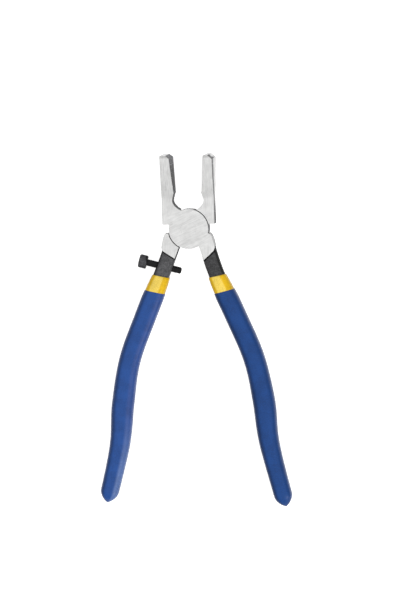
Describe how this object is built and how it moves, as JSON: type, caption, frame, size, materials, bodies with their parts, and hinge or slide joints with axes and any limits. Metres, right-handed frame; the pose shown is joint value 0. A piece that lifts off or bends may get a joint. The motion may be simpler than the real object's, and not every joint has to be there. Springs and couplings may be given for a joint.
{
  "type": "running pliers",
  "caption": "Glazier's running pliers with a flush lap joint, flared crowned and hollowed jaws, an adjusting stop screw and dipped two-tone grips.",
  "frame": {"origin": "on the pivot axis, at the ground rear face of the lap joint", "axes": "+Y from the pivot to the jaws, +Z out of the front face along the pivot axis, +X across the tool towards the front half's handle"},
  "size_m": [0.1059, 0.1959, 0.025],
  "materials": {
    "ground_steel": "ground with fine grain; shanks black oxide",
    "rivet_steel": "ground flush",
    "black_screw": "black oxide",
    "yellow_dip": "satin dipped vinyl",
    "blue_dip": "satin dipped vinyl"
  },
  "bodies": {
    "front_half": {"forged_half_front": "ground_steel", "pivot_rivet": "rivet_steel", "under_dip_right": "yellow_dip", "grip_right": "blue_dip"},
    "rear_half": {"forged_half_rear": "ground_steel", "under_dip_left": "yellow_dip", "grip_left": "blue_dip"},
    "stop_screw": {"adjusting_screw": "black_screw"}
  },
  "joints": [
    {"name": "pivot", "type": "hinge", "parent": "front_half", "child": "rear_half", "pos_m": [0, 0, 0.0055], "axis": [0, 0, 1], "range_deg": [-20, 26]},
    {"name": "stop_screw_travel", "type": "slide", "parent": "rear_half", "child": "stop_screw", "axis": [0.9664, -0.2571, 0], "range_m": [-0.004, 0.0025]}
  ]
}
